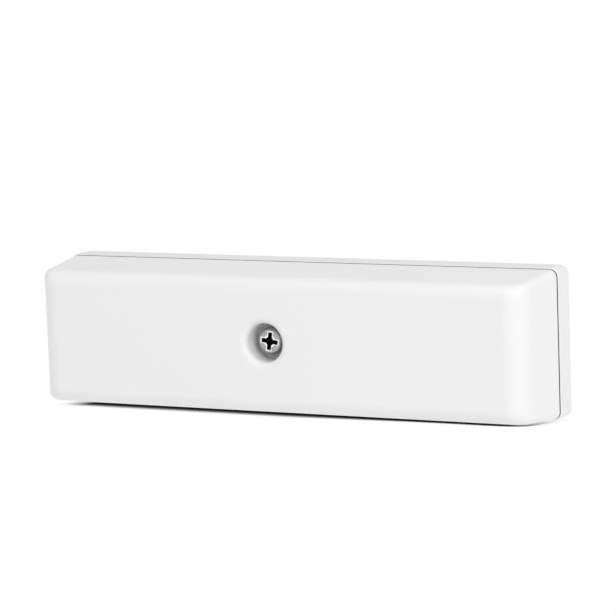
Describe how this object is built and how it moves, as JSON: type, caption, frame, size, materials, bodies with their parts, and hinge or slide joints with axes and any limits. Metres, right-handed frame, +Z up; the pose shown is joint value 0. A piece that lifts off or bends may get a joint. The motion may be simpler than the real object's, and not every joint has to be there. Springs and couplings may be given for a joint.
{
  "type": "awning vibration sensor",
  "caption": "Long white battery-powered vibration sensor for an awning rail: drafted cover on one sunk central screw, flat back plate with two mounting slots.",
  "frame": {"origin": "middle of the bottom of the whole sensor, with the mounting face upright", "axes": "+X to the right seen from the front, -Y out of the front face, +Z up"},
  "size_m": [0.14, 0.027, 0.0384],
  "materials": {
    "white_shell": "fine satin moulded, white",
    "seal_rubber": "matt black silicone",
    "washer_rubber": "matt dark rubber",
    "brass": "turned",
    "steel_screw": "bright stainless",
    "tray_plastic": "fine matt moulded, black",
    "cell_sleeve": "printed film sleeve over a steel can",
    "contact_steel": "nickel-plated spring steel",
    "board_laminate": "green solder mask over glass laminate",
    "chip_plastic": "matt moulded, black",
    "button_plastic": "matt black",
    "dial_plastic": "matt white",
    "control_plastic": "matt blue",
    "light_plastic": "white case with a clear lens",
    "can_aluminium": "drawn",
    "shield_steel": "tin-plated",
    "radio_laminate": "blue solder mask over glass laminate",
    "antenna_wire": "bare spring wire",
    "crystal_plastic": "matt moulded, black",
    "resistor_ceramic": "glazed, dark",
    "capacitor_ceramic": "tan ceramic"
  },
  "bodies": {
    "base": {"back_plate": "white_shell", "lid_seal": "seal_rubber", "threaded_insert": "brass", "battery_tray": "tray_plastic", "series_contact": "contact_steel", "positive_contact": "contact_steel", "negative_contact": "contact_steel", "circuit_board": "board_laminate", "board_screws": "steel_screw", "switch_body": "chip_plastic", "dial_body": "control_plastic", "status_light": "light_plastic", "motion_sensor": "chip_plastic", "microcontroller": "chip_plastic", "clock_crystal": "crystal_plastic", "reservoir_capacitor": "can_aluminium", "radio_board": "radio_laminate", "radio_shield": "shield_steel", "antenna_coil": "antenna_wire", "chip_resistors": "resistor_ceramic", "chip_capacitors": "capacitor_ceramic"},
    "cover": {"front_cover": "white_shell"},
    "washer": {"sealing_washer": "washer_rubber"},
    "screw": {"cover_screw": "steel_screw"},
    "upper_cell": {"upper_battery": "cell_sleeve"},
    "lower_cell": {"lower_battery": "cell_sleeve"},
    "button": {"learn_button": "button_plastic"},
    "dial": {"sensitivity_dial": "dial_plastic"}
  },
  "joints": [
    {"name": "cover_lift", "type": "slide", "parent": "base", "child": "cover", "axis": [0, -1, 0], "range_m": [0, 0.045]},
    {"name": "screw_travel", "type": "slide", "parent": "cover", "child": "washer", "axis": [0, -1, 0], "range_m": [0, 0.009]},
    {"name": "screw_turn", "type": "hinge", "parent": "washer", "child": "screw", "pos_m": [-0.0027, -0.0097, 0.01985], "axis": [0, -1, 0], "range_deg": [0, 4629.6]},
    {"name": "upper_cell_lift", "type": "slide", "parent": "base", "child": "upper_cell", "axis": [0, -1, 0], "range_m": [0, 0.0068]},
    {"name": "lower_cell_lift", "type": "slide", "parent": "base", "child": "lower_cell", "axis": [0, -1, 0], "range_m": [0, 0.0068]},
    {"name": "learn_press", "type": "slide", "parent": "base", "child": "button", "axis": [0, 1, 0], "range_m": [0, 0.0005], "stiffness_N_per_m": 1500, "springref_m": -0.0004},
    {"name": "sensitivity_turn", "type": "hinge", "parent": "base", "child": "dial", "pos_m": [0.011, 0.0059, 0.0135], "axis": [0, -1, 0], "range_deg": [-135, 135]}
  ],
  "couplings": [
    {"joint": "screw_turn", "follows": "screw_travel", "rad_per_m": 8976}
  ]
}
